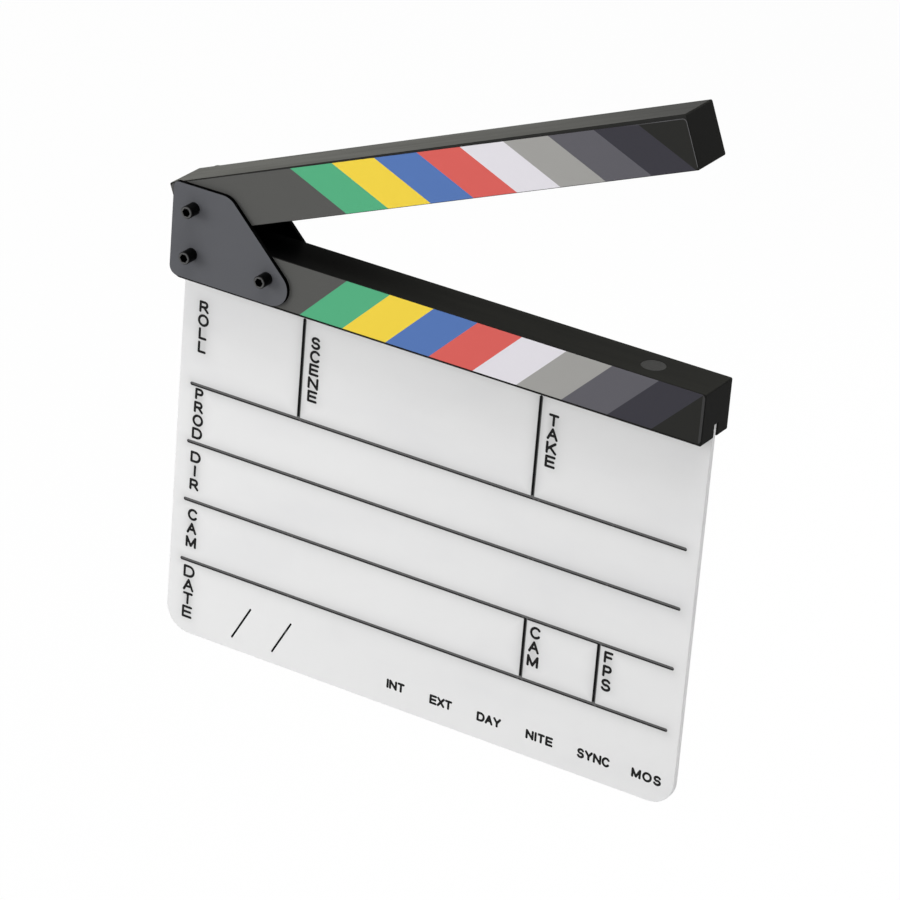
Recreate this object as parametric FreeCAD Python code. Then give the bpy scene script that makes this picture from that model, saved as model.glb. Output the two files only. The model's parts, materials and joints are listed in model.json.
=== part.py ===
import FreeCAD, Part
import math
import os

from FreeCAD import Vector

# A clapperboard standing upright, its upper stick open.
# Millimetres. +X runs from the hinge to the free ends of the sticks, +Y to the back, +Z up.
# The origin is half way along the sticks, in the middle of the writing board's bottom edge.

# Sticks: two square bars that clap together
stick_length = 301.5
stick_height = 27.0
lower_stick_depth = 26.2
stick_front_edge_radius = 0.5
stick_back_edge_radius = 0.7
stick_end_radius = 0.9         # of the corners seen from the front
upper_heel_radius = 12.6       # hidden lower corner of the upper stick, rounded so that it can turn
lower_heel_radius = 5.0        # hidden lower corner of the lower stick, rounded like the plates
closed_gap = 0.3               # between the sticks when they are clapped shut
open_angle = 21.9              # degrees that the upper stick stands open

# Writing board, bonded into a slot along the lower stick
board_drop = 201.85            # from the lower stick's underside to the board's bottom edge
board_thickness = 3.3
board_end_recess = 0.75        # of the board inside the stick's free end
board_corner_radius = 14.0
board_edge_bevel = 0.3
board_setback = 12.45          # from the stick's front face to the board's front face
slot_depth = 7.3
slot_slack = 0.1               # behind the board, for the glue
slot_mouth_bevel = 0.5

# Engraved form on the board, its grooves inked
line_width = 1.95
slash_width = 1.1
line_depth = 0.8
ink_recess = 0.55              # of the ink below the board's face
ink_clearance = 0.02
line_left_margin = 7.7
line_right_margin = 8.5
divider_headroom = 7.35        # from the lower stick down to the top boxes' dividers
slash_lean = 28.1              # degrees from upright
row_line_shares = (0.2064, 0.3747, 0.5363, 0.6958)   # of board_drop, from the bottom edge up
top_box_shares = (0.2383, 0.6892)                    # of the sticks' length, from the left
shot_box_shares = (0.6977, 0.8363)
slash_place_shares = (0.1524, 0.2341)
slash_middle_share = 0.3972    # of the bottom strip's height
slash_height_share = 0.4558

# Printed colour labels on the sticks' front faces
label_thickness = 0.15
label_clap_margin = 0.4        # along the edge where the sticks meet
lower_label_margin = 1.3
upper_label_hinge_margin = 0.5  # along the upper stick's top, narrow at the hinge
upper_label_free_margin = 1.9  # and wider at the free end
label_end_margin = 0.4
label_corner_radius = 2.0
label_hole_clearance = 0.3

# Hinge plates, one on each side of the sticks
plate_thickness = 2.3
plate_drop = 25.0              # below the clap line
plate_rise = 25.2              # above the clap line
plate_top_length = 33.25
plate_slant = 45.0             # degrees of the sloping edge from upright
plate_heel_radius = 5.0
plate_toe_radius = 9.7
plate_shoulder_radius = 10.0
front_crown_radius = 3.0
rear_crown_radius = 7.5        # keeps the rear plate below the open stick's top
plate_edge_bevel = 0.2

# Pivot and fixing screws with socket heads
screw_diameter = 4.0
head_diameter = 6.6
head_height = 7.1
head_bevel = 0.4
socket_width = 4.0             # across flats
socket_depth = 3.4
screw_tip_bevel = 0.5
screw_tip_length = 1.2         # past the nut
screw_hole_clearance = 0.1
pivot_from_end = 12.85
pivot_height = 13.1            # above the upper stick's underside
fixing_from_end = 12.85
fixing_below_clap = 11.1
toe_screw_share = 0.688        # of the plate's bottom length

# Washers and lock nuts behind the rear plate
washer_diameter = 9.0
washer_thickness = 0.8
nut_width = 7.0                # across flats
nut_hex_height = 3.4
nut_bevel = 0.45
nut_collar_diameter = 6.5
nut_collar_height = 1.6
thread_clearance = 0.05
insert_diameter = 5.6
insert_height = 1.3
insert_clearance = 0.05

# Bush and friction washers of the pivot
bush_diameter = 6.0
bush_clearance = 0.05
running_clearance = 0.05
friction_washer_diameter = 11.0
friction_washer_thickness = 0.3
friction_washer_play = 0.05

# Magnets that hold the sticks shut
magnet_diameter = 12.2
magnet_thickness = 3.0
magnet_recess = 0.1
magnet_clearance = 0.08
magnet_from_free_end = 35.75

# Modelling values
overrun = 1.0                  # of every cutter past the face it opens
same_place = 0.001             # tolerance for picking edges

# Places worked out from the sizes above
hinge_end = -stick_length / 2
free_end = stick_length / 2
board_free_end = free_end - board_end_recess
board_front = -board_thickness / 2
board_back = board_thickness / 2
stick_front = board_front - board_setback
stick_back = stick_front + lower_stick_depth
stick_middle = (stick_front + stick_back) / 2
clap_line = board_drop + stick_height
upper_bottom = clap_line + closed_gap
upper_top = upper_bottom + stick_height
front_plate_seat = stick_front - label_thickness
front_plate_face = front_plate_seat - plate_thickness
rear_plate_face = stick_back + plate_thickness
nut_seat = rear_plate_face + washer_thickness
nut_height = nut_hex_height + nut_collar_height
screw_end = nut_seat + nut_height + screw_tip_length
upper_front = front_plate_seat + friction_washer_thickness + friction_washer_play
upper_back = stick_back - friction_washer_thickness - friction_washer_play
plate_left = hinge_end             # flush with the sticks' ends
plate_bottom_length = plate_top_length + (plate_rise + plate_drop) * math.tan(math.radians(plate_slant))
pivot_place = (hinge_end + pivot_from_end, upper_bottom + pivot_height)
fixing_places = (
    (hinge_end + fixing_from_end, clap_line - fixing_below_clap),
    (plate_left + plate_bottom_length * toe_screw_share, clap_line - fixing_below_clap),
)
screw_radius = screw_diameter / 2
screw_hole_radius = screw_radius + screw_hole_clearance
magnet_x = free_end - magnet_from_free_end
along_y = Vector(0, 1, 0)
along_z = Vector(0, 0, 1)


def block(low, high):
    """A box between two opposite corners."""
    size = Vector(*high) - Vector(*low)
    return Part.makeBox(size.x, size.y, size.z, Vector(*low))


def rod(place, radius, front, back):
    """A round bar along Y at an (x, z) place."""
    return Part.makeCylinder(radius, back - front, Vector(place[0], front, place[1]), along_y)


def ring(place, outer_radius, inner_radius, front, back):
    """A round collar along Y at an (x, z) place."""
    return rod(place, outer_radius, front, back).cut(rod(place, inner_radius, front, back))


def hexagon(place, width, front, back):
    """A six-sided bar along Y, its width given across flats."""
    corner_radius = width / math.sqrt(3)
    corners = []
    for turn in range(6):
        angle = math.radians(60 * turn)
        corners.append(Vector(
            place[0] + corner_radius * math.cos(angle), front, place[1] + corner_radius * math.sin(angle)))
    outline = Part.makePolygon(corners + corners[:1])
    return Part.Face(outline).extrude(along_y * (back - front))


def rounded_face(corners, radii):
    """A flat face with straight sides, each corner rounded by an arc of its radius."""
    edges = []
    last_end = None
    first_start = None
    for number, (corner, radius) in enumerate(zip(corners, radii)):
        to_last = (corners[number - 1] - corner).normalize()
        to_next = (corners[(number + 1) % len(corners)] - corner).normalize()
        half_angle = to_last.getAngle(to_next) / 2
        inward = (to_last + to_next).normalize()
        start = corner + to_last * (radius / math.tan(half_angle))
        end = corner + to_next * (radius / math.tan(half_angle))
        middle = corner + inward * (radius / math.sin(half_angle) - radius)
        if last_end is not None:
            edges.append(Part.LineSegment(last_end, start).toShape())
        if radius:
            edges.append(Part.Arc(start, middle, end).toShape())
        first_start = first_start or start
        last_end = end
    edges.append(Part.LineSegment(last_end, first_start).toShape())
    return Part.Face(Part.Wire(edges))


def edges_at_y(shape, place):
    """The edges of a shape that lie wholly in the plane Y = place."""
    return [edge for edge in shape.Edges
            if abs(edge.BoundBox.YMin - place) < same_place and abs(edge.BoundBox.YMax - place) < same_place]


def opened(shape):
    """A piece of the clapper, modelled shut, turned open about the pivot."""
    turned = shape.copy()
    turned.rotate(Vector(pivot_place[0], 0, pivot_place[1]), -along_y, open_angle)
    return turned


def stick_bar(front, back, bottom, top, heel):
    """A square bar with softened edges and a well rounded lower corner at the hinge end."""
    corners = [Vector(hinge_end, front, bottom), Vector(free_end, front, bottom),
               Vector(free_end, front, top), Vector(hinge_end, front, top)]
    radii = [heel, stick_end_radius, stick_end_radius, stick_end_radius]
    bar = rounded_face(corners, radii).extrude(along_y * (back - front))
    bar = bar.makeFillet(stick_front_edge_radius, edges_at_y(bar, front))
    return bar.makeFillet(stick_back_edge_radius, edges_at_y(bar, back))


def magnet_disc(radius, low, high):
    """An upright disc at the magnets' place, for a magnet or its pocket."""
    return Part.makeCylinder(radius, high - low, Vector(magnet_x, stick_middle, low), along_z)


def lower_stick():
    """The fixed stick: slot for the board, holes for the fixing screws, pocket for a magnet."""
    bar = stick_bar(stick_front, stick_back, board_drop, clap_line, lower_heel_radius)
    slot = block((hinge_end - overrun, board_front, board_drop - overrun),
                 (free_end + overrun, board_back + slot_slack, board_drop + slot_depth))
    bar = bar.cut(slot)
    mouth = [edge for edge in bar.Edges
             if abs(edge.BoundBox.ZMax - board_drop) < same_place
             and board_front - same_place < edge.BoundBox.Center.y < board_back + slot_slack + same_place
             and edge.Length > stick_length / 2]
    bar = bar.makeChamfer(slot_mouth_bevel, mouth)
    for place in fixing_places:
        bar = bar.cut(rod(place, screw_hole_radius, stick_front - overrun, stick_back + overrun))
    floor = clap_line - magnet_recess - magnet_thickness
    return bar.cut(magnet_disc(magnet_diameter / 2 + magnet_clearance, floor, clap_line + overrun))


def upper_stick():
    """The moving stick: rounded heel, hole for the pivot bush, pocket for a magnet."""
    bar = stick_bar(upper_front, upper_back, upper_bottom, upper_top, upper_heel_radius)
    bar = bar.cut(rod(pivot_place, bush_diameter / 2 + bush_clearance,
                      upper_front - overrun, upper_back + overrun))
    roof = upper_bottom + magnet_recess + magnet_thickness
    return opened(bar.cut(magnet_disc(magnet_diameter / 2 + magnet_clearance, upper_bottom - overrun, roof)))


def lower_magnet():
    """The disc set in the lower stick's upper face."""
    top = clap_line - magnet_recess
    return magnet_disc(magnet_diameter / 2, top - magnet_thickness, top)


def upper_magnet():
    """The disc set in the upper stick's underside."""
    bottom = upper_bottom + magnet_recess
    return opened(magnet_disc(magnet_diameter / 2, bottom, bottom + magnet_thickness))


def label_sheet(face, bottom, hinge_top, free_top):
    """A thin printed sheet with rounded corners, its back on a stick's front face."""
    left = hinge_end + label_end_margin
    right = free_end - label_end_margin
    corners = [Vector(left, face, bottom), Vector(right, face, bottom),
               Vector(right, face, free_top), Vector(left, face, hinge_top)]
    return rounded_face(corners, [label_corner_radius] * 4).extrude(-along_y * label_thickness)


def lower_colour_label():
    """The lower stick's label, shaped round the heel and punched for the fixing screws."""
    top = clap_line - label_clap_margin
    sheet = label_sheet(stick_front, board_drop + lower_label_margin, top, top)
    heel = stick_bar(stick_front - overrun, stick_back, board_drop, clap_line, lower_heel_radius)
    sheet = sheet.common(heel)
    for place in fixing_places:
        sheet = sheet.cut(rod(place, screw_hole_radius, stick_front - overrun, stick_front + overrun))
    return sheet


def upper_colour_label():
    """The upper stick's label, shaped round the heel and punched for the friction washer."""
    sheet = label_sheet(upper_front, upper_bottom + label_clap_margin,
                        upper_top - upper_label_hinge_margin, upper_top - upper_label_free_margin)
    heel = stick_bar(upper_front - overrun, upper_back, upper_bottom, upper_top, upper_heel_radius)
    hole_radius = friction_washer_diameter / 2 + label_hole_clearance
    sheet = sheet.common(heel)
    return opened(sheet.cut(rod(pivot_place, hole_radius, upper_front - overrun, upper_front + overrun)))


def engraved_bar(start, end, width, front, back):
    """A round-ended bar between two (x, z) points, for a groove or its ink."""
    run = Vector(end[0] - start[0], 0, end[1] - start[1]).normalize()
    side = Vector(-run.z, 0, run.x) * (width / 2)
    first = Vector(start[0], front, start[1])
    last = Vector(end[0], front, end[1])
    cap = run * (width / 2)
    edges = [Part.LineSegment(first + side, last + side).toShape(),
             Part.Arc(last + side, last + cap, last - side).toShape(),
             Part.LineSegment(last - side, first - side).toShape(),
             Part.Arc(first - side, first - cap, first + side).toShape()]
    return Part.Face(Part.Wire(edges)).extrude(along_y * (back - front))


def form_lines():
    """Start, end and width of every engraved line of the form."""
    left = hinge_end + line_left_margin
    right = free_end - line_right_margin
    rows = [board_drop * share for share in row_line_shares]
    lines = [((left, row), (right, row), line_width) for row in rows]
    for share in top_box_shares:
        x = hinge_end + stick_length * share
        lines.append(((x, rows[-1]), (x, board_drop - divider_headroom), line_width))
    for share in shot_box_shares:
        x = hinge_end + stick_length * share
        lines.append(((x, rows[0]), (x, rows[1]), line_width))
    middle = rows[0] * slash_middle_share
    rise = rows[0] * slash_height_share / 2
    lean = rise * math.tan(math.radians(slash_lean))
    for share in slash_place_shares:
        x = hinge_end + stick_length * share
        lines.append(((x - lean, middle - rise), (x + lean, middle + rise), slash_width))
    return lines


def engraving(narrowing, front, back):
    """All the form's lines as solids, each line narrowed by a clearance on every side."""
    bars = []
    for start, end, width in form_lines():
        bars.append(engraved_bar(start, end, width - 2 * narrowing, front, back))
    return bars[0].fuse(bars[1:]).removeSplitter()


def writing_board():
    """The thin board: rounded lower corners, bevelled rim, shallow engraved form."""
    top = board_drop + slot_depth
    corners = [Vector(hinge_end, board_front, 0), Vector(board_free_end, board_front, 0),
               Vector(board_free_end, board_front, top), Vector(hinge_end, board_front, top)]
    radii = [board_corner_radius, board_corner_radius, 0, 0]
    sheet = rounded_face(corners, radii).extrude(along_y * board_thickness)
    rim = edges_at_y(sheet, board_front) + edges_at_y(sheet, board_back)
    sheet = sheet.makeChamfer(board_edge_bevel, rim)
    return sheet.cut(engraving(0, board_front - overrun, board_front + line_depth))


def engraved_line_ink():
    """The dark ink that lies on the floor of the form's grooves."""
    return engraving(ink_clearance, board_front + ink_recess, board_front + line_depth)


def hinge_plate(front, crown_radius):
    """A side plate with one sloping edge, drilled for the pivot and the fixing screws."""
    bottom = clap_line - plate_drop
    top = clap_line + plate_rise
    corners = [Vector(plate_left, front, bottom), Vector(plate_left + plate_bottom_length, front, bottom),
               Vector(plate_left + plate_top_length, front, top), Vector(plate_left, front, top)]
    radii = [plate_heel_radius, plate_toe_radius, plate_shoulder_radius, crown_radius]
    plate = rounded_face(corners, radii).extrude(along_y * plate_thickness)
    back = front + plate_thickness
    plate = plate.makeChamfer(plate_edge_bevel, edges_at_y(plate, front) + edges_at_y(plate, back))
    for place in (pivot_place,) + fixing_places:
        plate = plate.cut(rod(place, screw_hole_radius, front - overrun, back + overrun))
    return plate


def socket_screw(place):
    """A screw with a tall round head, a hexagon socket and a bevelled tip."""
    head_face = front_plate_face - head_height
    head = rod(place, head_diameter / 2, head_face, front_plate_face)
    head = head.makeChamfer(head_bevel, edges_at_y(head, head_face))
    shank = rod(place, screw_radius, front_plate_face, screw_end)
    shank = shank.makeChamfer(screw_tip_bevel, edges_at_y(shank, screw_end))
    socket = hexagon(place, socket_width, head_face - overrun, head_face + socket_depth)
    return head.fuse(shank).removeSplitter().cut(socket)


def lock_nut(place):
    """A nut with bevelled corners, a round collar and a pocket for its locking insert."""
    collar_start = nut_seat + nut_hex_height
    nut_end = nut_seat + nut_height
    envelope = rod(place, nut_width / math.sqrt(3), nut_seat, collar_start)
    rims = edges_at_y(envelope, nut_seat) + edges_at_y(envelope, collar_start)
    body = hexagon(place, nut_width, nut_seat, collar_start).common(envelope.makeChamfer(nut_bevel, rims))
    body = body.fuse(rod(place, nut_collar_diameter / 2, collar_start, nut_end)).removeSplitter()
    body = body.cut(rod(place, screw_radius + thread_clearance, nut_seat - overrun, nut_end + overrun))
    pocket_radius = insert_diameter / 2 + insert_clearance
    return body.cut(rod(place, pocket_radius, nut_end - insert_height, nut_end + overrun))


def nut_insert(place):
    """The soft ring in a lock nut's collar that grips the thread."""
    nut_end = nut_seat + nut_height
    return ring(place, insert_diameter / 2, screw_radius + thread_clearance, nut_end - insert_height, nut_end)


def rear_washer(place):
    """The plain washer under a lock nut."""
    return ring(place, washer_diameter / 2, screw_hole_radius, rear_plate_face, nut_seat)


def friction_washer(front):
    """A thin soft washer on the pivot screw, between a hinge plate and the upper stick."""
    back = front + friction_washer_thickness
    return ring(pivot_place, friction_washer_diameter / 2, screw_hole_radius, front, back)


def pivot_bush():
    """The sleeve in the upper stick that turns on the pivot screw."""
    bore_radius = screw_radius + running_clearance
    return opened(ring(pivot_place, bush_diameter / 2, bore_radius, upper_front, upper_back))


def pair(maker):
    """The same piece at both fixing places, as one group."""
    return Part.makeCompound([maker(place) for place in fixing_places])


pieces = {
    "writing_board": writing_board(),
    "engraved_line_ink": engraved_line_ink(),
    "lower_stick": lower_stick(),
    "lower_colour_label": lower_colour_label(),
    "lower_magnet": lower_magnet(),
    "front_hinge_plate": hinge_plate(front_plate_face, front_crown_radius),
    "rear_hinge_plate": hinge_plate(stick_back, rear_crown_radius),
    "fixing_screws": pair(socket_screw),
    "fixing_washers": pair(rear_washer),
    "fixing_nuts": pair(lock_nut),
    "fixing_nut_inserts": pair(nut_insert),
    "pivot_screw": socket_screw(pivot_place),
    "pivot_rear_washer": rear_washer(pivot_place),
    "pivot_nut": lock_nut(pivot_place),
    "pivot_nut_insert": nut_insert(pivot_place),
    "front_friction_washer": friction_washer(front_plate_seat),
    "rear_friction_washer": friction_washer(stick_back - friction_washer_thickness),
    "upper_stick": upper_stick(),
    "upper_colour_label": upper_colour_label(),
    "upper_magnet": upper_magnet(),
    "pivot_bush": pivot_bush(),
}

os.makedirs("parts", exist_ok=True)
for name, shape in pieces.items():
    shape.exportStep("parts/" + name + ".step")
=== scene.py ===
import json
import math

import bpy
import numpy as np
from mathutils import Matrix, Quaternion, Vector


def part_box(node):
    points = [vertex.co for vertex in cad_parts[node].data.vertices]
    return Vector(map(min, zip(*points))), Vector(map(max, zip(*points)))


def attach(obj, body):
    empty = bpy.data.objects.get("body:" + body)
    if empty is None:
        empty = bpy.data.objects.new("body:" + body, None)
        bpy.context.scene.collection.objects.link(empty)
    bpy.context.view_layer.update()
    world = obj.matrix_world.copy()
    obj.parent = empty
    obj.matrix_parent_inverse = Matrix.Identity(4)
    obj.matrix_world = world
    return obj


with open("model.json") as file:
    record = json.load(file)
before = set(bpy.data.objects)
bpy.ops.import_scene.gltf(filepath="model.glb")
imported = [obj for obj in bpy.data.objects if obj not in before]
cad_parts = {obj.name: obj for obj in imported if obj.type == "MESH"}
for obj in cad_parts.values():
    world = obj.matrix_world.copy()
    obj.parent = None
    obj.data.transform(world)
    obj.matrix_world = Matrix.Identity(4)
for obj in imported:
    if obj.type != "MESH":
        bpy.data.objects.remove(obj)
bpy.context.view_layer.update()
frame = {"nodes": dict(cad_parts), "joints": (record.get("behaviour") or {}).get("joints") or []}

nodes = frame["nodes"]
hinge = frame["joints"][0]
pivotX, pivotZ = hinge["pos_m"][0], hinge["pos_m"][2]
openAngle = math.radians(-hinge["range_deg"][0])  # from shut to the stored pose
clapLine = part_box("lower_stick")[1].z
millimetre = 0.001
print("frame loaded:", len(nodes), "nodes")


class Wire:
    # a shader socket that can be added, multiplied and so on
    def __init__(self, tree, socket=None):
        self.tree = tree
        self.socket = socket

    def node(self, kind, settings=None, inputs=None, out=0):
        made = self.tree.nodes.new("ShaderNode" + kind)
        for name, value in (settings or {}).items():
            setattr(made, name, value)
        for key, value in (inputs or {}).items():
            if isinstance(value, Wire):
                self.tree.links.new(value.socket, made.inputs[key])
            else:
                made.inputs[key].default_value = value
        return Wire(self.tree, made.outputs[out])

    def math(self, operation, first, second=0.0):
        return self.node("Math", {"operation": operation}, {0: first, 1: second})

    def __add__(self, other):
        return self.math("ADD", self, other)

    def __radd__(self, other):
        return self.math("ADD", other, self)

    def __sub__(self, other):
        return self.math("SUBTRACT", self, other)

    def __rsub__(self, other):
        return self.math("SUBTRACT", other, self)

    def __mul__(self, other):
        return self.math("MULTIPLY", self, other)

    def __rmul__(self, other):
        return self.math("MULTIPLY", other, self)

    def __truediv__(self, other):
        return self.math("DIVIDE", self, other)

    def __abs__(self):
        return self.math("ABSOLUTE", self)

    def split(self):
        return [self.node("SeparateXYZ", None, {0: self}, axis) for axis in range(3)]

    def facing(self):
        # x, y and z shares of the surface's own normal
        return self.node("TexCoord", out=1).split()

    def step(self, low, high):
        # 0 below low, 1 above high, smooth between
        inputs = {"Value": self, "From Min": low, "From Max": high}
        return self.node("MapRange", {"interpolation_type": "SMOOTHSTEP"}, inputs)

    def noise(self, scale, detail=2.0, stretch=(1, 1, 1)):
        # cloudy noise from 0 to 1, drawn out along an axis where stretch is small
        spread = self.node("Mapping", None, {"Vector": self, "Scale": stretch})
        return self.node("TexNoise", None, {"Vector": spread, "Scale": scale, "Detail": detail})

    def blend(self, first, second):
        # first colour where this is 0, second where it is 1
        return self.node("Mix", {"data_type": "RGBA"}, {0: self, 6: first, 7: second}, 2)

    def bump(self, strength, distance):
        return self.node("Bump", None, {"Strength": strength, "Distance": distance, "Height": self})


def paint(text):
    # linear colour from a six-figure screen colour
    shares = np.array([int(text[i:i + 2], 16) for i in (0, 2, 4)]) / 255
    linear = np.where(shares <= 0.04045, shares / 12.92, ((shares + 0.055) / 1.055) ** 2.4)
    return (*linear.tolist(), 1.0)


def newFinish(name, fixed):
    # a material with one main shader, whose even values come from the dictionary
    finish = bpy.data.materials.new(name)
    finish.use_nodes = True
    tree = finish.node_tree
    shader = tree.nodes["Principled BSDF"]
    for socket, value in fixed.items():
        shader.inputs[socket].default_value = value
    place = Wire(tree).node("TexCoord", out=3)
    return finish, shader, place


def feed(shader, **wires):
    # links wires to the shader's sockets
    names = {"colour": "Base Color", "roughness": "Roughness", "coat": "Coat Weight", "normal": "Normal"}
    for key, wire in wires.items():
        wire.tree.links.new(wire.socket, shader.inputs[names[key]])


def shutPlace(place, turned):
    # x, y, z of the shut pose: the clapper's pieces are stored open
    x, y, z = place.split()
    if not turned:
        return x, y, z
    across, up = x - pivotX, z - pivotZ
    c, s = math.cos(openAngle), math.sin(openAngle)
    return across * c + up * s + pivotX, y, up * c - across * s + pivotZ


# The form, in mm: heights of the rows, their two ends, and x, low end and high end of the uprights
formRows = (41.66, 75.63, 108.25, 140.45)
formRowEnds = (-143.05, 142.25)
formUprights = [
    (-78.9, 140.45, 194.5), (57.04, 140.45, 194.5),
    (59.6, 41.66, 75.63), (101.4, 41.66, 75.63),
]
# word, x, z of the first letter's middle, pitch down the stack, height of a letter
stackedWords = [
    ("ROLL", -138.4, 183.85, 7.36, 6.45),
    ("SCENE", -71.8, 183.95, 7.25, 6.45),
    ("TAKE", 64.9, 184.45, 7.35, 6.55),
    ("PROD", -138.3, 135.75, 7.35, 6.35),
    ("DIR", -138.3, 100.35, 7.7, 6.35),
    ("CAM", -138.2, 67.85, 7.8, 6.35),
    ("DATE", -138.2, 35.25, 7.75, 6.95),
    ("CAM", 65.6, 69.05, 7.9, 6.5),
    ("FPS", 107.2, 69.55, 7.6, 6.5),
]
# word, x of its middle, gap between letters, widening of the letters
rowWords = [
    ("INT", -10.95, 1.5, 0.87),
    ("EXT", 15.85, 1.4, 0.87),
    ("DAY", 44.05, 1.4, 0.87),
    ("NITE", 73.35, 1.7, 0.86),
    ("SYNC", 104.35, 1.5, 0.88),
    ("MOS", 134.45, 2.0, 1.0),
]

squareOn = (0.8, 0.97)  # shares of the normal between which a face counts as facing an axis
# In the dictionaries below, noises are scale, detail and stretch, and bumps are strength and distance


# Writing board: opal acrylic, faintly wiped, its groove walls dark with ink and painted shade, and
# painted shade on the sheet beside the ink
board = {
    "colour": paint("e7e7e7"),
    "wiped": paint("e0e0e1"),
    "wipeNoise": (9, 3, (1, 1, 2.6)),
    "wipeRange": (0.42, 0.75),        # of the noise, from clean to wiped
    "wipeShare": 0.7,
    "groove": paint("121212"),
    "inkAndShadeStart": 0.04 * millimetre,  # depth below the face where the ink and painted shade of the groove walls begin
    "inkAndShadeMargin": 0.2 * millimetre,  # round the ink, to reach the grooves' walls
    "inkAndShadeSoft": 0.01 * millimetre,
    "haloShade": 0.21,                     # painted shade right beside the ink
    "haloShadeReach": 2.5 * millimetre,
    "haloShadeDepth": 1.5 * millimetre,
    "lineHalf": 1.0,                  # half widths of a line and of a stacked word, in mm
    "wordHalf": 1.5,
    "specular": 0.3,
    "roughness": 0.34,
    "wipeRoughness": 0.1,
    "tooth": (900, 2),
    "toothRoughness": 0.05,
    "toothBump": (0.03, 0.2 * millimetre),
}


def within(value, low, high):
    # 1 between two places, 0 outside
    soft = board["inkAndShadeSoft"]
    return value.step(low - soft, low) * (1 - value.step(high, high + soft))


def inkedBoxes():
    # left, right, low and high of every line and stacked word
    half, wordHalf = board["lineHalf"], board["wordHalf"]
    boxes = [(*formRowEnds, z - half, z + half) for z in formRows]
    boxes += [(x - half, x + half, low, high) for x, low, high in formUprights]
    for word, x, z, pitch, cap in stackedWords:
        last = z - (len(word) - 1) * pitch
        boxes.append((x - wordHalf, x + wordHalf, last - wordHalf, z + wordHalf))
    return (np.array(boxes) * millimetre).tolist()


def haloShadeNear(x, z):
    # painted shade: 1 at the nearest line or word, falling off as e to the minus distance over reach
    nearest = None
    for left, right, low, high in inkedBoxes():
        across = x.math("MAXIMUM", abs(x - (left + right) / 2) - (right - left) / 2, 0)
        up = z.math("MAXIMUM", abs(z - (low + high) / 2) - (high - low) / 2, 0)
        gap = across * across + up * up
        nearest = gap.math("MINIMUM", gap, nearest) if nearest else gap
    return x.math("EXPONENT", nearest.math("SQRT", nearest) * (-1 / board["haloShadeReach"]))


def boardFinish():
    finish, shader, place = newFinish("opalAcrylic", {"Specular IOR Level": board["specular"]})
    wipe = place.noise(*board["wipeNoise"]).step(*board["wipeRange"])
    tooth = place.noise(*board["tooth"])
    x, y, z = place.split()
    low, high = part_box("engraved_line_ink")
    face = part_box("writing_board")[0].y
    margin = board["inkAndShadeMargin"]
    # groove walls: dark ink with painted shade, as in a deep recess
    groove = within(x, low.x - margin, high.x + margin) * within(z, low.z - margin, high.z + margin)
    groove = groove * within(y, face + board["inkAndShadeStart"], high.y + margin)
    sheet = (wipe * board["wipeShare"]).blend(board["colour"], board["wiped"])
    front = 1 - y.step(face + board["haloShadeDepth"] / 2, face + board["haloShadeDepth"])
    # painted shade on the front of the sheet beside the lines and words
    sheet = (haloShadeNear(x, z) * front * board["haloShade"]).blend(sheet, (0, 0, 0, 1))
    feed(shader,
         colour=groove.blend(sheet, board["groove"]),
         roughness=board["roughness"] + board["wipeRoughness"] * wipe + board["toothRoughness"] * tooth,
         normal=tooth.bump(*board["toothBump"]))
    return finish


# Ink in the engraved form: black, with painted light in grey along the upper or right side of each line,
# as on a lit groove wall
ink = {
    "black": paint("0d0d0d"),
    "wornAndLit": paint("6e6e6e"),
    "paintedLitMottle": paint("565656"),
    "rowLitSide": (-0.8 * millimetre, -0.35 * millimetre),  # where the painted lit side sets in, from a line's middle
    "uprightLitSide": (-0.1 * millimetre, 0.6 * millimetre),
    "litSideEnd": (1.05 * millimetre, 1.25 * millimetre),
    "specular": 0.15,
    "roughness": 0.6,
    "mottle": (700, 3),
    "mottleShare": 0.5,
    "mottleRoughness": 0.15,
    "mottleBump": (0.15, 0.1 * millimetre),
}


def inkFinish():
    finish, shader, place = newFinish("formInk", {"Specular IOR Level": ink["specular"]})
    mottle = place.noise(*ink["mottle"])
    x, y, z = place.split()
    lines = [(z - row * millimetre, ink["rowLitSide"]) for row in formRows]
    lines += [(x - upright[0] * millimetre, ink["uprightLitSide"]) for upright in formUprights]
    paintedLit = 0.0
    # painted light: one side of each line lighter, as a lit groove wall
    for over, litStart in lines:
        paintedLit = over.step(*litStart) * (1 - over.step(*ink["litSideEnd"])) + paintedLit
    wornAndLit = (mottle * ink["mottleShare"]).blend(ink["wornAndLit"], ink["paintedLitMottle"])
    feed(shader,
         colour=paintedLit.blend(ink["black"], wornAndLit),
         roughness=ink["roughness"] + ink["mottleRoughness"] * mottle,
         normal=mottle.bump(*ink["mottleBump"]))
    return finish


# Sticks: black stained wood
stick = {
    "stain": paint("1e1e1d"),
    "grain": paint("232321"),
    "end": paint("1b1b1a"),       # sawn ends
    "endFacing": (0.6, 0.9),      # shares of the normal between which a face counts as one
    "front": paint("2c2c2b"),     # front faces of the upper stick, painted lighter: painted light
    "hingeShade": paint("090909"),  # painted shade on the clap face near the hinge, under the upper stick
    "hingeShadeFade": (-100 * millimetre, 20 * millimetre),
    "paintedLit": paint("282825"),    # painted light on the rest of that face
    "paintedLitShare": 0.45,
    "grainNoise": (260, 4, (0.05, 1, 1)),
    "grainRange": (0.35, 0.7),
    "poreNoise": (1500, 2, (0.06, 1, 1)),
    "poreRange": (0.6, 0.8),
    "specular": 0.007,
    "roughness": 0.3,
    "grainRoughness": 0.05,
    "poreRoughness": 0.04,
    "grainHeight": 0.4,           # of the grain, as a share of a pore's depth
    "bump": (0.05, 0.2 * millimetre),
}


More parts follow.
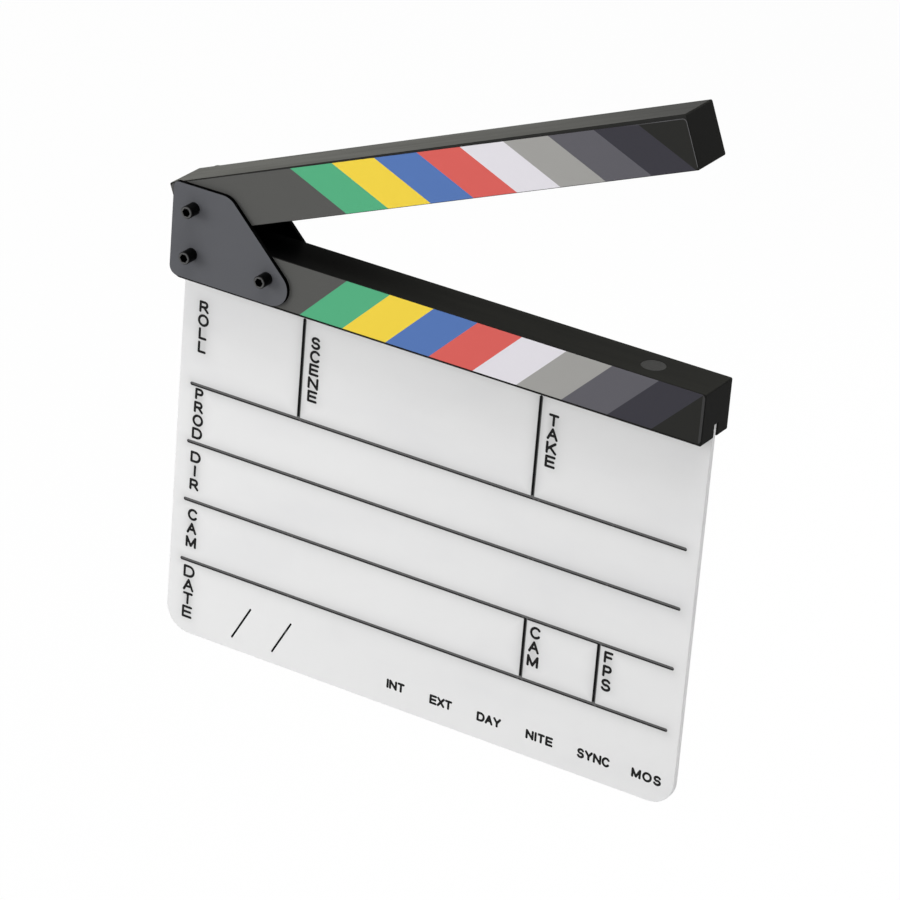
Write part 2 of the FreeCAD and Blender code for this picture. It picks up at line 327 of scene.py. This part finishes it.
def stickFinish(name, turned):
    finish, shader, place = newFinish(name, {"Specular IOR Level": stick["specular"]})
    x, y, z = shutPlace(place, turned)
    along = place.node("CombineXYZ", None, {0: x, 1: y, 2: z})
    grain = along.noise(*stick["grainNoise"]).step(*stick["grainRange"])
    pores = along.noise(*stick["poreNoise"]).step(*stick["poreRange"])
    wood = grain.blend(stick["stain"], stick["grain"])
    facing = place.facing()
    if turned:
        # painted light on the upper stick's front faces
        wood = (0 - facing[1]).step(*squareOn).blend(wood, stick["front"])
    else:
        # clap face: painted light, with painted shade near the hinge where the upper stick hangs over it
        clapFace = facing[2].step(*squareOn)
        wood = (clapFace * stick["paintedLitShare"]).blend(wood, stick["paintedLit"])
        wood = (clapFace * (1 - x.step(*stick["hingeShadeFade"]))).blend(wood, stick["hingeShade"])
    wood = abs(facing[0]).step(*stick["endFacing"]).blend(wood, stick["end"])
    feed(shader,
         colour=wood,
         roughness=stick["roughness"] + stick["grainRoughness"] * grain + stick["poreRoughness"] * pores,
         normal=(grain * stick["grainHeight"] - pores).bump(*stick["bump"]))
    return finish


# Labels: stripes meet in chevrons on the clap line
label = {
    # where the first coloured stripe starts on the clap line, and the pitch, in mm
    "lower": (-48.7, 24.83),
    "upper": (-49.75, 24.96),
    "edgeShift": {5: -0.3, 7: 0.5, 8: -0.25},  # of the print's uneven edges, in mm
    "stripes": ["555553", "53ab7e", "eed045", "5475b2", "d6605a",
                "dfdce2", "9e9d9a", "5e5d63", "3a3940", "272725"],
    "stripeSoft": 0.004,              # of a stripe's edge, as a share of the pitch
    "endStrip": paint("3c3c3c"),
    "endStripWidth": 1.3 * millimetre,
    "endStripSoft": 0.1 * millimetre,
    "edgeHighlight": paint("606062"),       # painted highlight on the upper label's cut edge
    "edgeHighlightWidth": 0.25 * millimetre,
    "edgeHighlightSoft": 0.2,               # as a share of that width
    "edgeHighlightFade": (40 * millimetre, 5 * millimetre),  # from the free end
    "corner": 2.0 * millimetre,
    "specular": 0.08,
    "roughness": 0.42,
    "fleck": (2200, 2),
    "fleckRoughness": 0.08,
    "fleckBump": (0.05, 0.1 * millimetre),
}


def endStrip(x):
    # a faint band down the lower label's end
    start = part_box("lower_colour_label")[1].x - label["endStripWidth"]
    return x.step(start - label["endStripSoft"], start + label["endStripSoft"])


def labelCorner():
    # x of the upper label's end and z of its top there, with the clapper shut
    mesh = nodes["upper_colour_label"].data
    points = np.empty(len(mesh.vertices) * 3)
    mesh.vertices.foreach_get("co", points)
    x, z = points[0::3] - pivotX, points[2::3] - pivotZ
    c, s = math.cos(openAngle), math.sin(openAngle)
    x, z = x * c + z * s + pivotX, z * c - x * s + pivotZ
    return x.max(), z[x > x.max() - label["corner"]].max()


def edgeHighlight(x, z):
    # painted highlight on the upper label's end, round its top corner and fading along the top
    end, top = labelCorner()
    across = x.math("MAXIMUM", x - (end - label["corner"]), 0)
    up = z.math("MAXIMUM", z - (top - label["corner"]), 0)
    reach = x.math("SQRT", across * across + up * up)
    inner = label["corner"] - label["edgeHighlightWidth"]
    soft = label["edgeHighlightWidth"] * label["edgeHighlightSoft"]
    far, near = label["edgeHighlightFade"]
    return reach.step(inner - soft, inner + soft) * x.step(end - far, end - near)


def labelFinish(name, turned):
    finish, shader, place = newFinish(name, {"Specular IOR Level": label["specular"]})
    x, y, z = shutPlace(place, turned)
    lean = z - clapLine if turned else clapLine - z
    first, pitch = label["upper" if turned else "lower"]
    count = (x + lean - first * millimetre) / (pitch * millimetre)  # of stripes past the plain start
    stripes = paint(label["stripes"][0])
    for edge, colour in enumerate(label["stripes"][1:]):
        at = edge + label["edgeShift"].get(edge, 0.0) / pitch
        past = count.step(at - label["stripeSoft"], at + label["stripeSoft"])
        stripes = past.blend(stripes, paint(colour))
    if turned:
        # painted highlight along the upper label's end and top
        stripes = edgeHighlight(x, z).blend(stripes, label["edgeHighlight"])
    else:
        stripes = endStrip(x).blend(stripes, label["endStrip"])
    fleck = place.noise(*label["fleck"])
    feed(shader,
         colour=stripes,
         roughness=label["roughness"] + label["fleckRoughness"] * fleck,
         normal=fleck.bump(*label["fleckBump"]))
    return finish


# Hinge plates: outer faces painted grey under a clear coat, the rest dull black, which on the inner
# faces and edges is also painted shade
plate = {
    "face": paint("58595d"),
    "edge": paint("020202"),
    "specular": 0.007,
    "coat": 0.24,
    "coatRoughness": 0.5,
    "roughness": 0.5,
    "peel": (1600, 2),
    "peelRoughness": 0.1,
    "peelBump": (0.1, 0.1 * millimetre),
}


def plateFinish():
    fixed = {"Specular IOR Level": plate["specular"], "Coat Roughness": plate["coatRoughness"]}
    finish, shader, place = newFinish("plateCoat", fixed)
    side = place.math("SIGN", place.split()[1])
    outer = (side * place.facing()[1]).step(*squareOn)
    peel = place.noise(*plate["peel"])
    # dull black on the edges and inner faces, partly painted shade between the plates
    feed(shader,
         colour=outer.blend(plate["edge"], plate["face"]),
         coat=outer * plate["coat"],
         roughness=plate["roughness"] + plate["peelRoughness"] * peel,
         normal=peel.bump(*plate["peelBump"]))
    return finish


# Screws, washers and nuts: blackened steel, rubbed bare on the ends of the heads, with a painted
# highlight there too
steel = {
    "colour": paint("060606"),
    "wornAndLit": paint("0c0c0c"),
    "bareAndHighlight": paint("545454"),
    "bareAndHighlightDepth": 0.4 * millimetre,
    "bareAndHighlightFacing": (0.5, 0.9),  # shares of the normal, wide enough to take in the bevel
    "metallic": 0.6,
    "specular": 0.06,
    "roughness": 0.38,
    "rub": (1200, 3),
    "rubRange": (0.5, 0.8),
    "rubRoughness": 0.2,
    "rubBump": (0.08, 0.1 * millimetre),
}


def steelFinish():
    fixed = {"Metallic": steel["metallic"], "Specular IOR Level": steel["specular"]}
    finish, shader, place = newFinish("blackenedSteel", fixed)
    rub = place.noise(*steel["rub"])
    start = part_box("pivot_screw")[0].y
    tip = 1 - place.split()[1].step(start, start + steel["bareAndHighlightDepth"])
    # ends of the heads: worn bare steel and painted highlight on the end face and bevel
    end = (0 - place.facing()[1]).step(*steel["bareAndHighlightFacing"]) * tip
    black = rub.step(*steel["rubRange"]).blend(steel["colour"], steel["wornAndLit"])
    feed(shader,
         colour=end.blend(black, steel["bareAndHighlight"]),
         roughness=steel["roughness"] + steel["rubRoughness"] * rub,
         normal=rub.bump(*steel["rubBump"]))
    return finish


# Small pieces: tone, shade, metallic and roughness of each finish, all with the same fine tooth
small = {
    "nylon": ("d0cfc8", "bfbeb6", 0.0, 0.45),
    "magnetNickel": ("2d2d2b", "242422", 0.2, 0.55),
    "bushBrass": ("b8954a", "a07f3c", 0.9, 0.35),
    "tooth": (1100, 3),
    "toothRoughness": 0.15,
    "toothBump": (0.06, 0.1 * millimetre),
}


def smallFinish(name):
    tone, shade, metallic, roughness = small[name]
    finish, shader, place = newFinish(name, {"Metallic": metallic})
    tooth = place.noise(*small["tooth"])
    feed(shader,
         colour=tooth.blend(paint(tone), paint(shade)),
         roughness=roughness + small["toothRoughness"] * tooth,
         normal=tooth.bump(*small["toothBump"]))
    return finish


def dress(finish, *names):
    for name in names:
        for slot in nodes[name].material_slots:
            slot.material = finish


dress(boardFinish(), "writing_board")
dress(inkFinish(), "engraved_line_ink")
dress(stickFinish("lowerStickStain", False), "lower_stick")
dress(stickFinish("upperStickStain", True), "upper_stick")
dress(labelFinish("lowerStripes", False), "lower_colour_label")
dress(labelFinish("upperStripes", True), "upper_colour_label")
dress(plateFinish(), "front_hinge_plate", "rear_hinge_plate")
dress(steelFinish(), "fixing_screws", "fixing_washers", "fixing_nuts",
      "pivot_screw", "pivot_rear_washer", "pivot_nut")
dress(smallFinish("nylon"), "fixing_nut_inserts", "pivot_nut_insert",
      "front_friction_washer", "rear_friction_washer")
dress(smallFinish("magnetNickel"), "lower_magnet", "upper_magnet")
dress(smallFinish("bushBrass"), "pivot_bush")
print("finishes on the CAD nodes")


# Camera: the photograph's place and lean
camera = {
    "place": (1.04489, -1.83004, 1.15397),
    "target": (0.00880, -0.00111, 0.15082),
    "lean": math.radians(4.784),
    "lens": 190.527,
    "sensor": 36.0,
}


def makeCamera():
    data = bpy.data.cameras.new("photoCamera")
    data.lens = camera["lens"]
    data.sensor_width = camera["sensor"]
    made = bpy.data.objects.new("photoCamera", data)
    made.location = camera["place"]
    sight = Vector(camera["target"]) - Vector(camera["place"])
    made.rotation_mode = "QUATERNION"
    made.rotation_quaternion = sight.to_track_quat("-Z", "Y") @ Quaternion((0, 0, 1), camera["lean"])
    bpy.context.scene.collection.objects.link(made)
    bpy.context.scene.camera = made


makeCamera()
print("camera set")


# Letters: round-ended strokes, heights and widths as shares of the cap height
def run(*points):
    return np.array(points, float)


def bend(centre, radii, start, end, count=17):
    # part of an ellipse, angles in degrees
    angles = np.radians(np.linspace(start, end, count))
    return np.stack([centre[0] + radii[0] * np.cos(angles), centre[1] + radii[1] * np.sin(angles)], 1)


def bowl(reach, low, high):
    # a stem's round side: out at the top, round and back at the bottom
    radius = (high - low) / 2
    side = bend((reach - radius, low + radius), (radius, radius), 90, -90)
    return np.concatenate([run((0, high)), side, run((0, low))])


glyphs = {
    "A": [run((0, 0), (0.47, 1), (0.94, 0)), run((0.16, 0.34), (0.78, 0.34))],
    "C": [bend((0.5, 0.5), (0.5, 0.53), 40, 320, 25)],
    "D": [run((0, 0), (0, 1)), bowl(1.0, 0, 1)],
    "E": [run((0.87, 1), (0, 1), (0, 0), (0.87, 0)), run((0, 0.5), (0.8, 0.5))],
    "F": [run((0.73, 1), (0, 1), (0, 0)), run((0, 0.5), (0.66, 0.5))],
    "I": [run((0, 0), (0, 1))],
    "K": [run((0, 0), (0, 1)), run((0.86, 1), (0, 0.3)), run((0.32, 0.56), (0.92, 0))],
    "L": [run((0, 1), (0, 0), (0.7, 0))],
    "M": [run((0, 0), (0, 1), (0.52, 0.06), (1.04, 1), (1.04, 0))],
    "N": [run((0, 0), (0, 1), (0.98, 0), (0.98, 1))],
    "O": [bend((0.52, 0.5), (0.52, 0.53), 0, 360, 33)],
    "P": [run((0, 0), (0, 1)), bowl(0.74, 0.44, 1)],
    "R": [run((0, 0), (0, 1)), bowl(0.78, 0.46, 1), run((0.42, 0.46), (0.86, 0))],
    "S": [np.concatenate([bend((0.41, 0.76), (0.37, 0.27), 25, 262),
                          bend((0.41, 0.24), (0.4, 0.28), 82, -158)])],
    "T": [run((0, 1), (0.84, 1)), run((0.42, 1), (0.42, 0))],
    "X": [run((0, 0), (0.92, 1)), run((0, 1), (0.92, 0))],
    "Y": [run((0, 1), (0.47, 0.45), (0.94, 1)), run((0.47, 0.45), (0.47, 0))],
}

lettering = {
    "stroke": 1.4,        # width, in mm like the tables above
    "rowStroke": 1.3,
    "rowHeight": 12.7,    # of the bottom row's middle over the board's edge
    "rowCap": 5.3,
    "rise": 0.14,         # of the ink over the board
    "sink": 0.03,
    "cell": 0.15,         # of the mesh
    "core": paint("0e0e0e"),
    # the rim's darker ink is painted shade
    "rim": paint("040404"),
    "rimRange": (0.35, 0.95),  # of the way from a stroke's middle to its edge
    "specular": 0.2,
    "roughness": 0.6,
    "mottle": (900, 2),
    "mottleRoughness": 0.15,
    "mottleBump": (0.1, 0.1 * millimetre),
}


def wordStrokes(word, middleX, gap, cap, widen, stroke, middleZ):
    # strokes of a level word, set from the left and centred
    tall = cap - stroke
    placed, edge = [], 0.0
    for letter in word:
        strokes = [points * (tall * widen, tall) for points in glyphs[letter]]
        width = max(points[:, 0].max() for points in strokes)
        placed.append((edge, strokes))
        edge += width + gap
    left = middleX - (edge - gap) / 2
    low = middleZ - tall / 2
    return [[points + (left + shift, low) for points in strokes] for shift, strokes in placed]


def inkShell(strokes, stroke):
    # A dome of ink over a letter: on a grid of cells the distance to the nearest stroke gives the
    # height, rise times the root of one minus (distance over half width) squared. Cells with their
    # middle inside are kept, and their outer corners slide onto the outline.
    half, cell, tiny = stroke / 2, lettering["cell"], 1e-9
    starts = np.concatenate([points[:-1] for points in strokes])
    runs = np.concatenate([np.diff(points, axis=0) for points in strokes])
    low = np.concatenate(strokes).min(0) - half - cell
    size = np.ceil((np.concatenate(strokes).max(0) + half + cell - low) / cell).astype(int) + 1

    def nearest(points):
        share = ((points[:, None] - starts) * runs).sum(2) / np.maximum((runs ** 2).sum(1), tiny)
        feet = starts + np.clip(share, 0, 1)[..., None] * runs
        gaps = np.linalg.norm(points[:, None] - feet, axis=2)
        best = gaps.argmin(1)
        rows = np.arange(len(points))
        return gaps[rows, best], feet[rows, best]

    u, v = np.meshgrid(np.arange(size[0]), np.arange(size[1]), indexing="ij")
    corners = np.stack([u, v], 2).reshape(-1, 2) * cell + low
    number = np.arange(size[0] * size[1]).reshape(size)
    quads = np.stack([number[:-1, :-1], number[1:, :-1], number[1:, 1:], number[:-1, 1:]], 2)
    quads = quads.reshape(-1, 4)
    kept = nearest(corners[quads].mean(1))[0] < half
    used = np.zeros(len(corners), int)
    np.add.at(used, quads[kept].ravel(), 1)
    rim = (used > 0) & (used < 4)
    gap, foot = nearest(corners)
    outward = (corners - foot) / np.maximum(gap, tiny)[:, None]
    corners[rim] = (foot + outward * half)[rim]
    gap[rim] = half
    inside = used > 0
    order = np.cumsum(inside) - 1
    quads = order[quads[kept]]
    points, gap = corners[inside], gap[inside]
    height = lettering["rise"] * np.sqrt(np.clip(1 - (gap / half) ** 2, 0, 1))
    return points, height, quads, rim[inside], gap / half


def letterMesh(name, letters, stroke):
    # all the letters' shells, closed behind by a flat copy just inside the board
    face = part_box("writing_board")[0].y
    allPoints, allFaces, allShares, offset = [], [], [], 0
    for strokes in letters:
        points, height, quads, rim, share = inkShell(strokes, stroke)
        count = len(points)
        front = np.stack([points[:, 0], -height, points[:, 1]], 1)
        back = np.stack([points[:, 0], np.full(count, lettering["sink"]), points[:, 1]], 1)
        edges = np.concatenate([quads[:, [i, (i + 1) % 4]] for i in range(4)])
        code = edges[:, 0] * count + edges[:, 1]
        twin = edges[:, 1] * count + edges[:, 0]
        lone = edges[~np.isin(code, twin)]
        wall = np.stack([lone[:, 1], lone[:, 0], lone[:, 0] + count, lone[:, 1] + count], 1)
        faces = np.concatenate([quads, quads[:, ::-1] + count, wall])
        allPoints += [front, back]
        allFaces.append(faces + offset)
        allShares += [share, np.ones(count)]
        offset += count * 2
    points = np.concatenate(allPoints) * millimetre + (0, face, 0)
    mesh = bpy.data.meshes.new(name)
    mesh.from_pydata(points.tolist(), [], np.concatenate(allFaces).tolist())
    shares = mesh.attributes.new("edgeShare", "FLOAT", "POINT")
    shares.data.foreach_set("value", np.concatenate(allShares))
    mesh.polygons.foreach_set("use_smooth", np.ones(len(mesh.polygons), bool))
    mesh.update()
    made = bpy.data.objects.new(name, mesh)
    bpy.context.scene.collection.objects.link(made)
    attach(made, "slate")
    return made


def letterFinish():
    # darker along the edges of each stroke: painted shade, as on the walls of an engraved letter
    finish, shader, place = newFinish("letterInk", {"Specular IOR Level": lettering["specular"]})
    share = place.node("Attribute", {"attribute_name": "edgeShare"}, None, 2)
    mottle = place.noise(*lettering["mottle"])
    feed(shader,
         colour=share.step(*lettering["rimRange"]).blend(lettering["core"], lettering["rim"]),
         roughness=lettering["roughness"] + lettering["mottleRoughness"] * mottle,
         normal=mottle.bump(*lettering["mottleBump"]))
    return finish


def makeLettering():
    stacked = []
    for word, x, z, pitch, cap in stackedWords:
        for place, letter in enumerate(word):
            stacked += wordStrokes(letter, x, 0, cap, 1.0, lettering["stroke"], z - place * pitch)
    level = []
    for word, x, gap, widen in rowWords:
        level += wordStrokes(word, x, gap, lettering["rowCap"], widen, lettering["rowStroke"],
                             lettering["rowHeight"])
    finish = letterFinish()
    for name, letters, stroke in (("stacked_words", stacked, lettering["stroke"]),
                                  ("bottom_row_words", level, lettering["rowStroke"])):
        piece = letterMesh(name, letters, stroke)
        piece.data.materials.append(finish)
        print(name, len(piece.data.polygons), "faces")


makeLettering()


# Studio: pale floor well below the held slate, soft lamps, white surroundings
studio = {
    "floorDrop": 0.4,
    "floorSize": 9.0,
    "floorColour": (0.72, 0.72, 0.72, 1),
    "floorWhite": 0.97,     # share of plain white in the floor as seen
    "frontLight": 0.9,      # of the room before the slate, at eye height
    "upperShare": 0.3,      # of that light left high up
    "backLight": 0.15,
    "ceiling": 0.08,        # brightness of the room overhead, as seen in gloss
    "frontFade": (-0.35, 0.25),   # front to back, and heights, as shares of a ray's direction
    "upperFade": (0.0, 0.7),
    "ceilingFade": (0.02, 0.3),
    "lamps": [
        # place, size, power and colour of each soft panel, all aimed at the slate
        ("frontPanel", (-0.9, -0.9, 0.5), 0.8, 6, (1, 1, 1)),
        ("overheadPanel", (0.2, 0.0, 2.2), 2.1, 60, (1, 1, 1)),
        ("rimPanel", (-1.65, 1.7, 0.3), 1.0, 2.8, (1, 1, 0.84)),
        ("backPanel", (0.1, 1.6, 0.4), 1.0, 9, (1, 1, 1)),
    ],
    "aim": (0, 0, 0.18),
}


def seenRays(wire):
    # 1 for rays that show the surroundings: straight, in gloss or through glass
    rays = [wire.node("LightPath", None, None, name) for name in
            ("Is Camera Ray", "Is Glossy Ray", "Is Transmission Ray")]
    return wire.math("MINIMUM", rays[0] + rays[1] + rays[2], 1.0)


def makeFloor():
    half, low = studio["floorSize"] / 2, -studio["floorDrop"]
    mesh = bpy.data.meshes.new("floor")
    corners = [(-half, -half, low), (half, -half, low), (half, half, low), (-half, half, low)]
    mesh.from_pydata(corners, [], [(0, 1, 2, 3)])
    floor = bpy.data.objects.new("floor", mesh)
    bpy.context.scene.collection.objects.link(floor)
    finish = bpy.data.materials.new("paleFloor")
    finish.use_nodes = True
    tree = finish.node_tree
    wire = Wire(tree)
    tree.nodes.remove(tree.nodes["Principled BSDF"])
    matt = wire.node("BsdfDiffuse", None, {"Color": studio["floorColour"]})
    white = wire.node("Emission", None, {"Color": (1, 1, 1, 1), "Strength": 1.0})
    both = wire.node("MixShader", None, {0: seenRays(wire) * studio["floorWhite"], 1: matt, 2: white})
    tree.links.new(both.socket, tree.nodes["Material Output"].inputs["Surface"])
    mesh.materials.append(finish)


def makeSurroundings():
    world = bpy.data.worlds.new("studio")
    world.use_nodes = True
    bpy.context.scene.world = world
    tree = world.node_tree
    wire = Wire(tree)
    depth, height = wire.node("TexCoord").split()[1:]
    upper = (1 - studio["upperShare"]) * height.step(*studio["upperFade"])
    front = (1 - depth.step(*studio["frontFade"])) * (1 - upper)
    level = studio["backLight"] + (studio["frontLight"] - studio["backLight"]) * front
    soft = wire.node("Background", None, {"Color": (1, 1, 1, 1), "Strength": level})
    straight = wire.node("LightPath", None, None, "Is Camera Ray")
    dim = height.step(*studio["ceilingFade"]) * (1 - straight) * (1 - studio["ceiling"])
    white = wire.node("Background", None, {"Color": (1, 1, 1, 1), "Strength": 1 - dim})
    both = wire.node("MixShader", None, {0: seenRays(wire), 1: soft, 2: white})
    tree.links.new(both.socket, tree.nodes["World Output"].inputs["Surface"])


def makeLamps():
    for name, place, size, power, colour in studio["lamps"]:
        data = bpy.data.lights.new(name, "AREA")
        data.shape = "DISK"
        data.size = size
        data.energy = power
        data.color = colour
        lamp = bpy.data.objects.new(name, data)
        lamp.location = place
        sight = Vector(studio["aim"]) - Vector(place)
        lamp.rotation_euler = sight.to_track_quat("-Z", "Y").to_euler()
        bpy.context.scene.collection.objects.link(lamp)


makeFloor()
makeSurroundings()
makeLamps()
bpy.context.scene.view_settings.view_transform = "Standard"
print("studio set")
